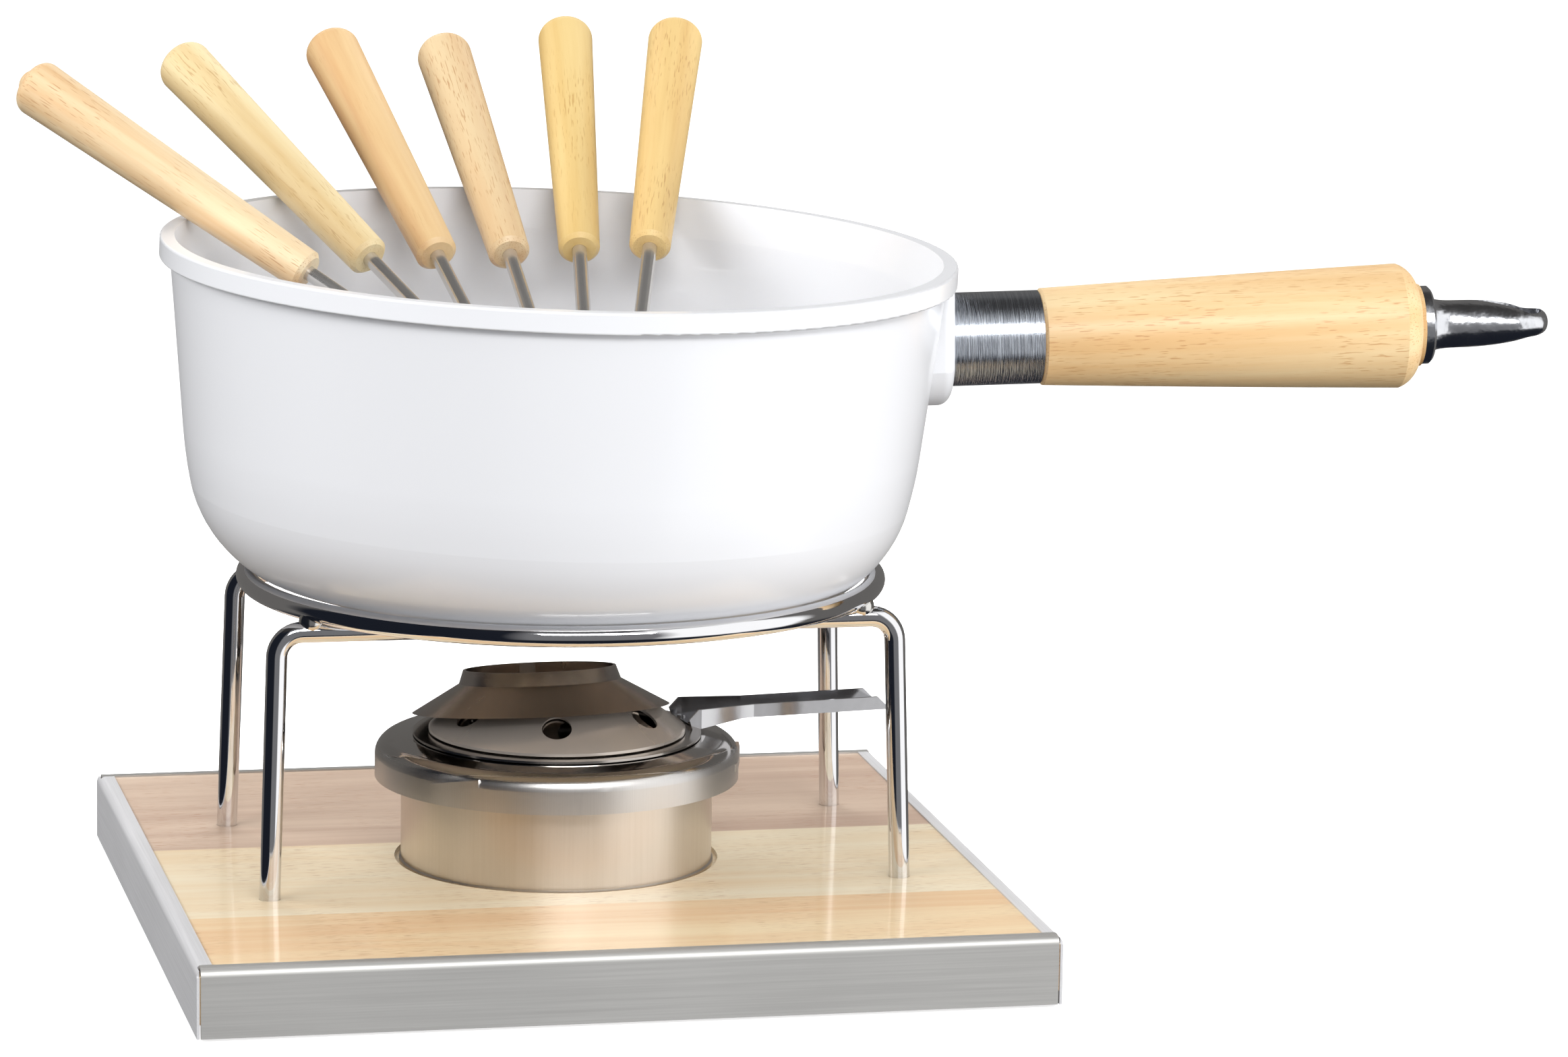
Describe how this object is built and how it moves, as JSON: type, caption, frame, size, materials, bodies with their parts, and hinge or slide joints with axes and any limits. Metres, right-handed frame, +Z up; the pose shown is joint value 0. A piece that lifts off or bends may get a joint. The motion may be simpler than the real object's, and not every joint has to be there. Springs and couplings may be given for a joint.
{
  "type": "fondue set",
  "caption": "Fondue set: coated pan with a wooden handle and forks on a bent-wire stand, over a burner with a turning air regulator, on a framed wooden base.",
  "frame": {"origin": "on the surface the set stands on, under the middle of the square base", "axes": "+X to the pan's handle side along the base's front edge, +Y from the front to the back, +Z up"},
  "size_m": [0.4608, 0.3023, 0.2587],
  "materials": {
    "cast": "white ceramic coat, satin",
    "chrome": "bright plated wire",
    "frame_steel": "brushed along its length",
    "board_wood": "lacquered, glossy",
    "grip_wood": "oiled, satin",
    "collar_steel": "brushed",
    "cap_steel": "blasted and polished",
    "rod_steel": "polished",
    "screw_steel": "zinc plated",
    "rubber": "matte",
    "cup_steel": "satin",
    "dome_steel": "polished",
    "wadding": "mineral wool",
    "gauze": "woven wire"
  },
  "bodies": {
    "stand": {"board": "board_wood", "frame_front": "frame_steel", "frame_back": "frame_steel", "frame_left": "frame_steel", "frame_right": "frame_steel", "rubber_feet": "rubber", "leg_screws": "screw_steel", "leg_washers": "screw_steel", "front_wire": "chrome", "back_wire": "chrome", "support_ring": "chrome", "ring_welds": "chrome"},
    "pan": {"pan_body": "cast", "handle_collar": "collar_steel", "handle_grip": "grip_wood", "handle_end_cap": "cap_steel", "handle_tie_rod": "screw_steel"},
    "fork_1": {"fork_1_grip": "grip_wood", "fork_1_rod": "rod_steel"},
    "fork_2": {"fork_2_grip": "grip_wood", "fork_2_rod": "rod_steel"},
    "fork_3": {"fork_3_grip": "grip_wood", "fork_3_rod": "rod_steel"},
    "fork_4": {"fork_4_grip": "grip_wood", "fork_4_rod": "rod_steel"},
    "fork_5": {"fork_5_grip": "grip_wood", "fork_5_rod": "rod_steel"},
    "fork_6": {"fork_6_grip": "grip_wood", "fork_6_rod": "rod_steel"},
    "burner": {"burner_cup": "cup_steel", "fuel_wadding": "wadding", "wick_gauze": "gauze"},
    "lid": {"burner_lid": "dome_steel", "air_dome": "dome_steel", "flame_cone": "dome_steel", "cone_stays": "dome_steel"},
    "regulator": {"regulator_disc": "dome_steel", "regulator_lever": "cup_steel", "lever_rivets": "cup_steel"}
  },
  "joints": [
    {"name": "pan_lift", "type": "slide", "parent": "stand", "child": "pan", "axis": [0, 0, 1], "range_m": [0, 0.15]},
    {"name": "fork_1_draw", "type": "slide", "parent": "pan", "child": "fork_1", "axis": [-0.7166, 0.5098, 0.476], "range_m": [0, 0.2]},
    {"name": "fork_2_draw", "type": "slide", "parent": "pan", "child": "fork_2", "axis": [-0.4445, 0.7582, 0.477], "range_m": [0, 0.2]},
    {"name": "fork_3_draw", "type": "slide", "parent": "pan", "child": "fork_3", "axis": [-0.1895, 0.8398, 0.5087], "range_m": [0, 0.2]},
    {"name": "fork_4_draw", "type": "slide", "parent": "pan", "child": "fork_4", "axis": [-0.0556, 0.8712, 0.4878], "range_m": [0, 0.2]},
    {"name": "fork_5_draw", "type": "slide", "parent": "pan", "child": "fork_5", "axis": [0.1059, 0.84, 0.5322], "range_m": [0, 0.2]},
    {"name": "fork_6_draw", "type": "slide", "parent": "pan", "child": "fork_6", "axis": [0.2347, 0.8199, 0.5221], "range_m": [0, 0.2]},
    {"name": "burner_lift", "type": "slide", "parent": "stand", "child": "burner", "axis": [0, 0, 1], "range_m": [0, 0.015]},
    {"name": "lid_lock", "type": "hinge", "parent": "burner", "child": "lid", "pos_m": [-0.001, -0.0029, 0.05], "axis": [0, 0, 1], "range_deg": [0, 12]},
    {"name": "regulator_turn", "type": "hinge", "parent": "lid", "child": "regulator", "pos_m": [-0.001, -0.0029, 0.06], "axis": [0, 0, 1], "range_deg": [-9, 21]}
  ]
}
